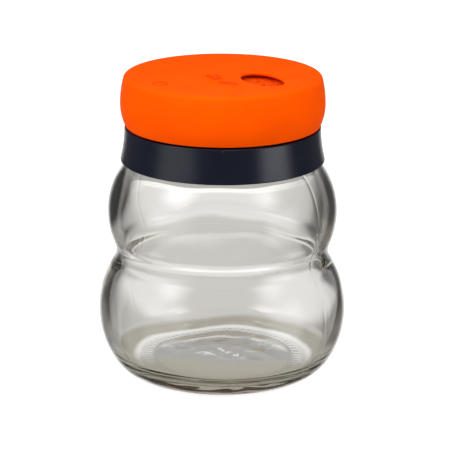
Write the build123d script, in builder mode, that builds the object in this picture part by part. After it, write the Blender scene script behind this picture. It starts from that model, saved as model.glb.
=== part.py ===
from build123d import *
import math
import os

# Spice jar: a clear glass jar with two swelling bands, closed by a screw collar that
# carries a shaker insert and a dial. Turning the dial brings its oval window over the
# sprinkle holes, over the pour opening or over the blank part of the insert.
# Millimetres, +Z up, origin in the middle of the foot, front of the jar towards -Y.

os.makedirs("parts", exist_ok=True)

# Glass, outer form
foot_radius = 24.4          # where the heel curve meets the table
foot_ring_width = 2.0       # flat ring that the jar stands on
heel_arc = 10.9             # radius of the heel in profile
lower_radius = 38.15        # largest radius of the lower band
lower_height = 20.4         # height of that largest radius
lower_arc = 28.2            # radius of the lower band in profile
waist_arc = 6.3             # hollow between the two bands
upper_radius = 35.3
upper_height = 51.3
upper_arc = 24.0
shoulder_arc = 8.5
shoulder_angle = 34.0       # degrees above level where the shoulder leaves the upper band
neck_set_in = 9.3           # from the side of the upper band in to the neck
neck_height = 11.6          # from the shoulder to the rim

# Glass, inner form
glass_wall = 2.6
base_thickness = 5.5
inner_heel_arc = 7.0
inner_neck_round = 1.8
push_up = 1.2               # hollow under the base, at its middle
push_up_edge = 0.4          # the same hollow, where it leaves the foot ring
base_round = 0.4
neck_root_round = 1.0
rim_round = 0.8

# Seal between the rim and the insert
seal_thickness = 1.0
seal_width = 2.0
seal_round = 0.2

# Screw collar
thread_height = 1.0         # height of the glass thread over the neck
thread_clearance = 0.35
inner_skirt_wall = 1.2
collar_overlap = 0.8        # the collar's foot hangs this far below the root of the neck
collar_ledge = 1.5          # the collar's top edge stands this far out from the threaded skirt
collar_flare = 1.35         # how much wider the collar is at its foot
collar_foot_round = 0.3
collar_shoulder_round = 0.3
skirt_recess = 1.7          # the threaded skirt ends this far above the outer one
core_depth = 3.2            # groove between the two skirts
outer_skirt_wall = 1.15
barrel_clearance = 0.4
barrel_wall = 1.2
barrel_height = 5.2         # from the collar's deck to the top of its barrel
lip_thickness = 1.2         # lip that holds the insert's flange down
lip_reach = 1.4             # how far it comes in over the flange
retaining_bead = 0.3        # holds the insert in the collar from below
bead_height = 0.45          # the two beads that keep the dial on
bead_length = 1.2
bead_gap = 0.3              # between the dial's bead and the barrel's
index_pip_radius = 0.45     # small raised mark at the front, under the deck's edge
index_pip_sink = 0.15

# Shaker insert
flange_thickness = 1.2
flange_clearance = 0.2
drum_wall = 1.3
drum_round = 1.1
hub_wall = 2.04             # thickening under the disc, round the pivot
hub_depth = 1.2
sprinkle_hole_radius = 0.8
sprinkle_pitch = 5.25
sprinkle_across = -1.4      # one hole of the pattern, from the middle of the window
sprinkle_along = 7.0
sprinkle_angle = -11.0      # degrees, direction of the rows
pour_margin = 0.8           # the pour opening is this much smaller than the window all round
pour_edge_round = 0.3
stop_inset = 2.0            # from the side of the drum in to the stops
stop_width = 1.4
stop_height = 0.85
stop_round = 0.35

# Shaker dial
dial_gap = 0.5              # between the dial's lower edge and the collar's deck
dial_height = 15.4
dial_overhang = 1.3         # the dial's belly stands this far out over the collar's top edge
dial_belly_drop = 8.8       # from the top down to the belly
dial_top_set_in = 1.25      # how much narrower than the belly the dial is at its top
dial_foot_set_in = 1.5      # the same at its foot
dial_top_round = 1.4
dial_foot_round = 0.4
dial_dish = 0.6             # the top is hollowed by this much
dial_inner_round = 1.0
plate_thickness = 1.1
dial_clearance = 0.25
under_dial_gap = 1.2        # from the dial's plate down to the insert
window_reach_share = 0.5113 # of the drum's radius, from the axis to the middle of the window
window_long_share = 0.4234  # of the drum's radius, half the window's length
window_short_share = 0.2339
window_bearing = -18.9      # degrees, direction of the window from the axis
window_angle = -68.8        # degrees, direction of the window's length
window_lip_round = 0.5
window_undercut = 0.45
boss_shoulder = 1.3         # the boss is this much larger in radius than its pin
thrust_gap = 0.05
pin_radius = 1.9
pin_clearance = 0.06
barb_height = 0.4
barb_length = 2.0
pin_slit = 0.8
stop_peg_length = 2.8
stop_rib_length = 1.8
stop_gap = 0.3
dial_turn = 90.0            # degrees from sprinkle to pour, and from sprinkle to closed
overrun = 1.0               # how far a cutting solid passes the face that it cuts

# Derived places, as (radius, height) in the profile plane
neck_radius = upper_radius - neck_set_in
lower_centre = (lower_radius - lower_arc, lower_height)
upper_centre = (upper_radius - upper_arc, upper_height)
shoulder_reach = upper_arc - shoulder_arc
shoulder_centre = (
    upper_centre[0] + shoulder_reach * math.cos(math.radians(shoulder_angle)),
    upper_centre[1] + shoulder_reach * math.sin(math.radians(shoulder_angle)),
)


def polar(centre, radius, angle):
    """Point at a radius and an angle in degrees from a centre."""
    return (
        centre[0] + radius * math.cos(math.radians(angle)),
        centre[1] + radius * math.sin(math.radians(angle)),
    )


def bearing(start, end):
    """Angle in degrees of the line from one point to another."""
    return math.degrees(math.atan2(end[1] - start[1], end[0] - start[0]))


def heel_centre(heel_radius, height, arc_radius):
    """Centre of a heel arc at a height, tangent inside the lower band's arc."""
    drop = lower_centre[1] - height
    return (lower_centre[0] + math.sqrt((arc_radius - heel_radius) ** 2 - drop**2), height)


def waist_centre(lower_reach, upper_reach):
    """Point outside the jar at two distances from the centres of the bands' arcs."""
    span = math.dist(lower_centre, upper_centre)
    along = (lower_reach**2 - upper_reach**2 + span**2) / (2 * span)
    out = math.sqrt(lower_reach**2 - along**2)
    lean = math.radians(bearing(lower_centre, upper_centre))
    return (
        lower_centre[0] + along * math.cos(lean) + out * math.sin(lean),
        lower_centre[1] + along * math.sin(lean) - out * math.cos(lean),
    )


def bulge_radius(height, set_in):
    """Radius of an arc that starts upright and comes in by set_in over a height."""
    return (height**2 + set_in**2) / (2 * set_in)


def height_on_shoulder(radius, arc_radius):
    """Height at which a shoulder arc reaches a radius."""
    return shoulder_centre[1] + math.sqrt(arc_radius**2 - (radius - shoulder_centre[0]) ** 2)


def band_arcs(wall, heel, heel_radius):
    """Arcs of the heel, the two bands, the waist and the shoulder, set in by a wall."""
    low = lower_arc - wall
    high = upper_arc - wall
    hollow = waist_arc + wall
    waist = waist_centre(low + hollow, high + hollow)
    heel_end = bearing(lower_centre, heel)
    low_end = bearing(lower_centre, waist)
    high_start = bearing(upper_centre, waist)
    neck = neck_radius - wall
    top = (neck, height_on_shoulder(neck, shoulder_arc - wall))
    shoulder_end = bearing(shoulder_centre, top)
    CenterArc(heel, heel_radius, -90, 90 + heel_end)
    CenterArc(lower_centre, low, heel_end, low_end - heel_end)
    CenterArc(waist, hollow, 180 + low_end, high_start - low_end)
    CenterArc(upper_centre, high, high_start, shoulder_angle - high_start)
    CenterArc(shoulder_centre, shoulder_arc - wall, shoulder_angle, shoulder_end - shoulder_angle)
    return top


# Heights of the closure, from the glass rim up
outer_heel = heel_centre(heel_arc, heel_arc, lower_arc)
inner_floor = base_thickness
inner_heel = heel_centre(inner_heel_arc, inner_floor + inner_heel_arc, lower_arc - glass_wall)
neck_foot = height_on_shoulder(neck_radius, shoulder_arc)
rim_height = neck_foot + neck_height
seal_top = rim_height + seal_thickness
flange_top = seal_top + flange_thickness
barrel_top = flange_top + lip_thickness
deck_height = barrel_top - barrel_height
collar_foot = neck_foot - collar_overlap
collar_height = deck_height - collar_foot
dial_foot = deck_height + dial_gap
dial_top = dial_foot + dial_height
dial_belly = dial_top - dial_belly_drop
plate_top = dial_top - dial_dish
plate_under = plate_top - plate_thickness
insert_top = plate_under - under_dial_gap

# Radii of the closure, from the neck out
bore_radius = neck_radius - glass_wall
threaded_skirt_inner = neck_radius + thread_height + thread_clearance
threaded_skirt_outer = threaded_skirt_inner + inner_skirt_wall
collar_top_radius = threaded_skirt_outer + collar_ledge
collar_bottom_radius = collar_top_radius + collar_flare
barrel_inner = neck_radius + barrel_clearance
barrel_outer = barrel_inner + barrel_wall
flange_radius = barrel_inner - flange_clearance
lip_inner = barrel_inner - lip_reach
drum_radius = lip_inner - flange_clearance
stop_radius = drum_radius - stop_inset
dial_inner = barrel_outer + bead_height + dial_clearance
dial_radius = collar_top_radius + dial_overhang
boss_radius = pin_radius + boss_shoulder
hub_radius = pin_radius + pin_clearance + hub_wall

# Window, as an oval whose place and size follow the drum under it
window_centre = polar((0, 0), window_reach_share * drum_radius, window_bearing)
window_long = window_long_share * drum_radius
window_short = window_short_share * drum_radius
pour_centre = polar((0, 0), window_reach_share * drum_radius, window_bearing + dial_turn)
peg_angle = window_bearing + 180
stop_reach = (stop_peg_length + stop_rib_length) / 2 + stop_gap
stop_swing = dial_turn + math.degrees(stop_reach / stop_radius)

# Glass jar
with BuildPart() as glass_jar:
    with BuildSketch(Plane.XZ) as glass_profile:
        with BuildLine() as glass_outline:
            foot_inner = foot_radius - foot_ring_width
            hollow_edge = (foot_inner - push_up_edge, push_up_edge)
            ThreePointArc(
                (0, push_up),
                (hollow_edge[0] / 2, push_up - (push_up - push_up_edge) / 4),
                hollow_edge,
            )
            Line(hollow_edge, (foot_inner, 0))
            Line((foot_inner, 0), (outer_heel[0], 0))
            neck_root = band_arcs(0, outer_heel, heel_arc)
            Line(neck_root, (neck_radius, rim_height))
            Line((neck_radius, rim_height), (bore_radius, rim_height))
        with BuildLine() as cavity_outline:
            Line((0, inner_floor), (inner_heel[0], inner_floor))
            neck_inside = band_arcs(glass_wall, inner_heel, inner_heel_arc)
            Line(neck_inside, (bore_radius, rim_height))
        with BuildLine() as glass_axis:
            Line((0, inner_floor), (0, push_up))
        make_face(
            glass_outline.edges() + cavity_outline.edges() + glass_axis.edges(),
        )
        corners = glass_profile.vertices()
        rim_corners = corners.group_by(Axis.Y)[-1]
        fillet(rim_corners, rim_round)
        corners = glass_profile.vertices()
        fillet(corners.sort_by_distance(neck_root)[0], neck_root_round)
        corners = glass_profile.vertices()
        fillet(corners.sort_by_distance(neck_inside)[0], inner_neck_round)
        corners = glass_profile.vertices()
        fillet(corners.sort_by_distance(hollow_edge)[0], base_round)
        corners = glass_profile.vertices()
        fillet(corners.sort_by_distance((foot_inner, 0))[0], base_round)
    revolve(axis=Axis.Z)
glass_jar.part.label = "glass_jar"

# Seal ring, flat on the rim
with BuildPart() as seal_ring:
    with BuildSketch(Plane.XY.offset(rim_height)) as seal_face:
        Circle(bore_radius + glass_wall / 2 + seal_width / 2)
        Circle(bore_radius + glass_wall / 2 - seal_width / 2, mode=Mode.SUBTRACT)
    extrude(amount=seal_thickness)
    fillet(seal_ring.edges(), seal_round)
seal_ring.part.label = "seal_ring"

# Screw collar: flared skirt, threaded skirt inside it, and the barrel that the dial clips onto
with BuildPart() as screw_collar:
    with BuildSketch(Plane.XZ) as collar_profile:
        flare_arc = bulge_radius(collar_height, collar_flare)
        flare_angle = math.degrees(math.asin(collar_height / flare_arc))
        core_top = collar_foot + core_depth
        skirt_foot = collar_foot + skirt_recess
        core_outer_foot = collar_bottom_radius - outer_skirt_wall
        core_outer_top = (
            collar_top_radius + (deck_height - core_top) ** 2 / (2 * flare_arc) - outer_skirt_wall
        )
        with BuildLine() as collar_outline:
            CenterArc(
                (collar_top_radius + flare_arc, deck_height), flare_arc, 180, flare_angle
            )
            Polyline(
                (collar_bottom_radius, collar_foot),
                (core_outer_foot, collar_foot),
                (core_outer_top, core_top),
                (threaded_skirt_outer, core_top),
                (threaded_skirt_outer, skirt_foot),
                (threaded_skirt_inner, skirt_foot),
                (threaded_skirt_inner, deck_height - lip_thickness),
                (barrel_inner, deck_height - lip_thickness),
                (barrel_inner, seal_top - 2 * retaining_bead),
                (barrel_inner - retaining_bead, seal_top - retaining_bead),
                (barrel_inner, seal_top),
                (barrel_inner, flange_top),
                (lip_inner, flange_top),
                (lip_inner, barrel_top),
                (barrel_outer, barrel_top),
                (barrel_outer + bead_height, barrel_top - bead_length / 2),
                (barrel_outer, barrel_top - bead_length),
                (barrel_outer, deck_height),
                (collar_top_radius, deck_height),
            )
        make_face()
        corners = collar_profile.vertices()
        fillet(corners.sort_by_distance((collar_bottom_radius, collar_foot))[0], collar_foot_round)
        corners = collar_profile.vertices()
        fillet(corners.sort_by_distance((collar_top_radius, deck_height))[0], collar_shoulder_round)
    revolve(axis=Axis.Z)
    pip_reach = collar_top_radius - index_pip_sink
    with Locations((0, -pip_reach, deck_height - collar_shoulder_round - index_pip_radius)):
        Sphere(index_pip_radius)
screw_collar.part.label = "screw_collar"


def in_window(point, margin):
    """True where a point lies in the window's oval, made smaller by a margin."""
    reach = math.dist(window_centre, point)
    lean = math.radians(bearing(window_centre, point) - window_angle)
    along = reach * math.cos(lean) / (window_long - margin)
    across = reach * math.sin(lean) / (window_short - margin)
    return math.hypot(along, across) <= 1


def sprinkle_places():
    """Holes on a triangular grid, wherever a grid point has its middle in the window."""
    step = polar((0, 0), sprinkle_pitch, sprinkle_angle)
    row = polar((0, 0), sprinkle_pitch, sprinkle_angle - 60)
    count = math.ceil(2 * window_long / sprinkle_pitch) + 1
    places = []
    for i in range(-count, count + 1):
        for j in range(-count, count + 1):
            place = (
                window_centre[0] + sprinkle_across + i * step[0] + j * row[0],
                window_centre[1] + sprinkle_along + i * step[1] + j * row[1],
            )
            if in_window(place, -sprinkle_hole_radius / 2):
                places.append(place)
    return places


# Shaker insert: a top hat with sprinkle holes, a pour opening and a blank part
with BuildPart() as shaker_insert:
    with BuildSketch(Plane.XZ) as insert_profile:
        with BuildLine() as insert_outline:
            Polyline(
                (0, insert_top),
                (drum_radius, insert_top),
                (drum_radius, flange_top),
                (flange_radius, flange_top),
                (flange_radius, seal_top),
                (drum_radius - drum_wall, seal_top),
                (drum_radius - drum_wall, insert_top - drum_wall),
                (hub_radius, insert_top - drum_wall),
                (hub_radius, insert_top - drum_wall - hub_depth),
                (0, insert_top - drum_wall - hub_depth),
                close=True,
            )
        make_face()
        corners = insert_profile.vertices()
        fillet(corners.sort_by_distance((drum_radius, insert_top))[0], drum_round)
        corners = insert_profile.vertices()
        inner_corner = (drum_radius - drum_wall, insert_top - drum_wall)
        fillet(corners.sort_by_distance(inner_corner)[0], drum_round / 2)
    revolve(axis=Axis.Z)
    with BuildSketch(Plane.XY.offset(insert_top + overrun)):
        with Locations(pour_centre):
            Ellipse(
                window_long - pour_margin,
                window_short - pour_margin,
                rotation=window_angle + dial_turn,
            )
    extrude(amount=-(drum_wall + 2 * overrun), mode=Mode.SUBTRACT)
    pour_rims = shaker_insert.edges(Select.LAST).filter_by(GeomType.LINE, reverse=True)
    fillet(pour_rims, pour_edge_round)
    with BuildSketch(Plane.XY.offset(insert_top + overrun)):
        with Locations(*sprinkle_places()):
            Circle(sprinkle_hole_radius)
    extrude(amount=-(drum_wall + 2 * overrun), mode=Mode.SUBTRACT)
    with BuildSketch(Plane.XY.offset(insert_top + overrun)):
        Circle(pin_radius + pin_clearance)
    extrude(amount=-(drum_wall + hub_depth + 2 * overrun), mode=Mode.SUBTRACT)
    with BuildSketch(Plane.XY.offset(insert_top)):
        for side in (-1, 1):
            rib_angle = peg_angle + side * stop_swing
            with Locations(Location((*polar((0, 0), stop_radius, rib_angle), 0), (0, 0, rib_angle))):
                RectangleRounded(stop_width, stop_rib_length, stop_round)
    extrude(amount=stop_height)
shaker_insert.part.label = "shaker_insert"

# Shaker dial: bulged grip wall, dished top with an oval window, pivot pin and stop peg.
# Its profile is drawn on the side away from the window, so that no seam crosses the window.
dial_plane = Plane(origin=(0, 0, 0), x_dir=(-1, 0, 0), z_dir=(0, 1, 0))
with BuildPart() as shaker_dial:
    with BuildSketch(dial_plane) as dial_profile:
        dial_lower_arc = bulge_radius(dial_belly - dial_foot, dial_foot_set_in)
        dial_upper_arc = bulge_radius(dial_belly_drop, dial_top_set_in)
        lower_swing = math.degrees(math.asin((dial_belly - dial_foot) / dial_lower_arc))
        upper_swing = math.degrees(math.asin(dial_belly_drop / dial_upper_arc))
        lower_pivot = (dial_radius - dial_lower_arc, dial_belly)
        upper_pivot = (dial_radius - dial_upper_arc, dial_belly)
        dial_foot_outer = polar(lower_pivot, dial_lower_arc, -lower_swing)
        dial_top_outer = polar(upper_pivot, dial_upper_arc, upper_swing)
        bead_middle = barrel_top - bead_length - bead_gap - bead_length / 2
        with BuildLine() as dial_outline:
            CenterArc(lower_pivot, dial_lower_arc, -lower_swing, lower_swing)
            CenterArc(upper_pivot, dial_upper_arc, 0, upper_swing)
            ThreePointArc(
                dial_top_outer,
                (dial_top_outer[0] / 2, plate_top + dial_dish / 4),
                (0, plate_top),
            )
            Polyline(
                (0, plate_top),
                (0, plate_under),
                (dial_inner, plate_under),
                (dial_inner, bead_middle + bead_length / 2),
                (dial_inner - bead_height, bead_middle),
                (dial_inner, bead_middle - bead_length / 2),
                (dial_inner, dial_foot),
                dial_foot_outer,
            )
        make_face()
        corners = dial_profile.vertices()
        fillet(corners.sort_by_distance(dial_top_outer)[0], dial_top_round)
        corners = dial_profile.vertices()
        fillet(corners.sort_by_distance(dial_foot_outer)[0], dial_foot_round)
        corners = dial_profile.vertices()
        fillet(corners.sort_by_distance((dial_inner, plate_under))[0], dial_inner_round)
    revolve(axis=Axis.Z)
    with BuildSketch(Plane.XY.offset(dial_top + overrun)):
        with Locations(window_centre):
            Ellipse(window_long, window_short, rotation=window_angle)
    extrude(amount=-(dial_top - plate_under + 2 * overrun), mode=Mode.SUBTRACT)
    window_rims = shaker_dial.edges(Select.LAST).filter_by(GeomType.LINE, reverse=True)
    lower_rim, upper_rim = window_rims.sort_by(Axis.Z)
    chamfer(lower_rim, window_undercut)
    rims = shaker_dial.edges().filter_by(GeomType.LINE, reverse=True)
    fillet(rims.sort_by_distance(upper_rim @ 0.5)[0], window_lip_round)
    with BuildSketch(Plane.XY.offset(plate_under)):
        Circle(boss_radius)
    extrude(amount=-(under_dial_gap - thrust_gap))
    pin_start = insert_top + thrust_gap
    pin_end = insert_top - drum_wall - hub_depth - thrust_gap
    with BuildSketch(dial_plane):
        with BuildLine():
            Polyline(
                (0, pin_start),
                (pin_radius, pin_start),
                (pin_radius, pin_end),
                (pin_radius + barb_height, pin_end),
                (pin_radius + barb_height, pin_end - barb_height),
                (pin_radius - barb_height, pin_end - barb_length),
                (0, pin_end - barb_length),
                close=True,
            )
        make_face()
    revolve(axis=Axis.Z)
    with BuildSketch(Plane.XY.offset(pin_end - barb_length - overrun)):
        Rectangle(pin_slit, 2 * boss_radius)
    extrude(amount=barb_length + overrun + drum_wall + hub_depth, mode=Mode.SUBTRACT)
    with BuildSketch(Plane.XY.offset(plate_under)):
        with Locations(Location((*polar((0, 0), stop_radius, peg_angle), 0), (0, 0, peg_angle))):
            RectangleRounded(stop_width, stop_peg_length, stop_round)
    extrude(amount=-stop_height)
shaker_dial.part.label = "shaker_dial"

export_step(glass_jar.part, "parts/glass_jar.step")
export_step(seal_ring.part, "parts/seal_ring.step")
export_step(screw_collar.part, "parts/screw_collar.step")
export_step(shaker_insert.part, "parts/shaker_insert.step")
export_step(shaker_dial.part, "parts/shaker_dial.step")

print("rim height", round(rim_height, 2), "deck height", round(deck_height, 2))
print("insert top", round(insert_top, 2), "dial top", round(dial_top, 2))
print("sprinkle holes", len(sprinkle_places()))
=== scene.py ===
"""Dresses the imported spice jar: clear glass, navy screw collar and orange shaker dial.

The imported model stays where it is. The glass is rebuilt as a fine turned surface with its
screw thread and mould seams, the collar gets the thread inside it, and the dial its raised
marks. Sizes in the classes are millimetres; what goes to Blender is in metres.
"""

import logging
import math
from dataclasses import dataclass, replace
from enum import Enum
from typing import Sequence, Union

import bmesh
import bpy
import numpy as np
from mathutils import Matrix, Vector


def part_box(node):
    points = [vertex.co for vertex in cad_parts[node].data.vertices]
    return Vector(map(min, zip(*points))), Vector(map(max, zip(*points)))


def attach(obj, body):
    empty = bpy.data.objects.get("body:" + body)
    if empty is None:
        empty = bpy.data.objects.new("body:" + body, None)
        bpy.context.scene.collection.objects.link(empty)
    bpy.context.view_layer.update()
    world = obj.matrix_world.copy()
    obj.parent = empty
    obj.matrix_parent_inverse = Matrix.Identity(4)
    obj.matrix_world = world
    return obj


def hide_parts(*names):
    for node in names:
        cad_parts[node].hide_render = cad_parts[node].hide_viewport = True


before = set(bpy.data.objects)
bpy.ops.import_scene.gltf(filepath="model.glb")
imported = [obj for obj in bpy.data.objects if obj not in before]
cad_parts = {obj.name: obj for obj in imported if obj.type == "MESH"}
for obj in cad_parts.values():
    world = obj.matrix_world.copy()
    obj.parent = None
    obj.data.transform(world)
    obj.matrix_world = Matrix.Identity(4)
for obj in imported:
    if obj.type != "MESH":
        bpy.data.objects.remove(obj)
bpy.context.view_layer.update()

MM = 0.001
RIM_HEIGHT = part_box("glass_jar")[1].z / MM
LOG = logging.getLogger("spice jar")
CORNER_STEPS = 8  # steps along each softened corner of a profile
NOISE_RANGE = (0.3, 0.7)  # where nearly all values of a noise lie
PATCH_POWER = 4.0  # how square the patches of the room are; 2 is round
WHITE = (1.0, 1.0, 1.0)

Point = tuple[float, float]
Colour = tuple[float, float, float]
Socket = bpy.types.NodeSocket
Value = Union[float, Socket]
Corner = bmesh.types.BMVert


class Body(Enum):
    """The bodies that new pieces ride on."""

    JAR = "jar"
    LID = "lid"
    DIAL = "dial"


class Slot(Enum):
    """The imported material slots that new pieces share."""

    GLASS = "clear_glass"
    NAVY = "navy_plastic"
    ORANGE = "orange_plastic"


def polar(centre: Point, radius: float, angle: float) -> Point:
    """Point at a radius and an angle in degrees from a centre."""
    turn = math.radians(angle)
    return (centre[0] + radius * math.cos(turn), centre[1] + radius * math.sin(turn))


def bearing(start: Point, end: Point) -> float:
    """Angle in degrees of the line from one point to another."""
    return math.degrees(math.atan2(end[1] - start[1], end[0] - start[0]))


def rise(value: np.ndarray, low: float, high: float) -> np.ndarray:
    """Smooth step from 0 at low to 1 at high."""
    share = np.clip((value - low) / (high - low), 0.0, 1.0)
    return share * share * (3.0 - 2.0 * share)


class Profile:
    """A line of (radius, height) points, drawn with straight runs, arcs and soft corners."""

    def __init__(self, start: Point) -> None:
        """Starts the line.

        Args:
            start: The first point.
        """
        self.points: list[Point] = [start]
        self.corners: list[tuple[int, float]] = []

    def line(self, end: Point, step: float = 0.8) -> "Profile":
        """Adds a straight run.

        Args:
            end: Its last point.
            step: Longest distance between two points on it.

        Returns:
            The profile itself.
        """
        start = self.points[-1]
        count = max(1, math.ceil(math.dist(start, end) / step))
        for k in range(1, count + 1):
            share = k / count
            self.points.append(
                (start[0] + share * (end[0] - start[0]), start[1] + share * (end[1] - start[1]))
            )
        return self

    def arc(self, centre: Point, radius: float, start: float, end: float, step: float = 2.5) -> "Profile":
        """Adds an arc that begins at the last point.

        Args:
            centre: Centre of the arc.
            radius: Its radius.
            start: Angle of its first point, in degrees.
            end: Angle of its last point.
            step: Largest angle between two points.

        Returns:
            The profile itself.
        """
        count = max(1, math.ceil(abs(end - start) / step))
        for k in range(1, count + 1):
            self.points.append(polar(centre, radius, start + (end - start) * k / count))
        return self

    def corner(self, reach: float) -> "Profile":
        """Marks the last point as a corner to be softened over a distance on each side."""
        self.corners.append((len(self.points) - 1, reach))
        return self

    def softened(self) -> np.ndarray:
        """Rounds the marked corners.

        Returns:
            The points as an array of radius and height.
        """
        points = self.points
        out: list[Point] = []
        marks = dict(self.corners)
        skip_until = -1
        for i, point in enumerate(points):
            if i in marks:
                reach = marks[i]
                before, after = (np.array(self._walk(i, way, reach)) for way in (-1, 1))
                while out and math.dist(out[-1], point) < reach:
                    out.pop()
                t = np.linspace(0.0, 1.0, CORNER_STEPS + 1)[:, None]
                curve = (1 - t) ** 2 * before + 2 * t * (1 - t) * np.array(point) + t * t * after
                out.extend(map(tuple, curve))
                skip_until = i
                while skip_until + 1 < len(points) and math.dist(points[skip_until + 1], point) < reach:
                    skip_until += 1
            elif i > skip_until:
                out.append(point)
        return np.array(out)

    def _walk(self, index: int, way: int, reach: float) -> Point:
        """Finds a point at a distance from a corner, measured straight, along the line.

        Args:
            index: Number of the corner's point.
            way: 1 goes on along the line, and -1 goes back.
            reach: The distance.

        Returns:
            The point.
        """
        corner = self.points[index]
        i = index
        while 0 <= i + way < len(self.points) and math.dist(self.points[i + way], corner) < reach:
            i += way
        near = self.points[i]
        far = self.points[max(0, min(len(self.points) - 1, i + way))]
        inner, outer = math.dist(near, corner), math.dist(far, corner)
        share = 0.0 if outer == inner else min(1.0, (reach - inner) / (outer - inner))
        return (near[0] + share * (far[0] - near[0]), near[1] + share * (far[1] - near[1]))


def profile_normals(points: np.ndarray) -> np.ndarray:
    """Unit normals to the right of the direction of travel.

    Args:
        points: Points of a profile, in order.

    Returns:
        One normal for each point.
    """
    run = np.gradient(points, axis=0)
    length = np.maximum(np.hypot(run[:, 0], run[:, 1]), 1e-9)
    return np.stack([run[:, 1] / length, -run[:, 0] / length], axis=1)


def link(mesh: bpy.types.Mesh, name: str) -> bpy.types.Object:
    """Puts a mesh into the scene as a named object with smooth faces.

    Args:
        mesh: The finished mesh, in metres.
        name: Name of the piece.

    Returns:
        The object.
    """
    mesh.validate()
    mesh.polygons.foreach_set("use_smooth", [True] * len(mesh.polygons))
    mesh.update()
    piece = bpy.data.objects.new(name, mesh)
    bpy.context.scene.collection.objects.link(piece)
    return piece


def wrap(shell: bmesh.types.BMesh, near: Sequence[Corner], far: Sequence[Corner]) -> None:
    """Joins two closed rows of corners with a band of faces.

    Args:
        shell: The mesh under construction.
        near: The first row.
        far: The second row, with as many corners.
    """
    for k in range(len(near)):
        m = (k + 1) % len(near)
        shell.faces.new((near[k], near[m], far[m], far[k]))


def link_shell(shell: bmesh.types.BMesh, name: str) -> bpy.types.Object:
    """Puts a mesh from under construction into the scene.

    Args:
        shell: The mesh under construction, in metres, which is used up.
        name: Name of the piece.

    Returns:
        The object.
    """
    mesh = bpy.data.meshes.new(name)
    shell.to_mesh(mesh)
    shell.free()
    return link(mesh, name)


def turned_piece(
    name: str, points: np.ndarray, azimuths: np.ndarray, relief: np.ndarray
) -> bpy.types.Object:
    """Turns a profile about the vertical axis, from the axis back to the axis.

    Args:
        name: Name of the piece.
        points: Radius and height of each ring, in millimetres; the first and last lie on the axis.
        azimuths: Azimuth of each column, in radians, rising once round.
        relief: Outward shift of every point, in millimetres, as one row for each ring.

    Returns:
        The closed, smooth piece.
    """
    normals = profile_normals(points)
    rings = points.shape[0]
    columns = azimuths.shape[0]
    radius = points[:, :1] + relief * normals[:, :1]
    height = points[:, 1:] + relief * normals[:, 1:]
    verts = np.stack(
        [radius * np.cos(azimuths), radius * np.sin(azimuths), height], axis=2
    )[1:-1].reshape(-1, 3)
    poles = np.array([[0.0, 0.0, points[0, 1]], [0.0, 0.0, points[-1, 1]]])
    verts = np.concatenate([verts, poles]) * MM
    first, last = len(verts) - 2, len(verts) - 1
    faces: list[tuple[int, ...]] = []
    for i in range(rings - 3):
        low, high = i * columns, (i + 1) * columns
        for j in range(columns):
            k = (j + 1) % columns
            faces.append((low + j, low + k, high + k, high + j))
    top = (rings - 3) * columns
    for j in range(columns):
        k = (j + 1) % columns
        faces.append((first, k, j))
        faces.append((last, top + j, top + k))
    mesh = bpy.data.meshes.new(name)
    mesh.from_pydata(verts.tolist(), [], faces)
    return link(mesh, name)


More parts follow.
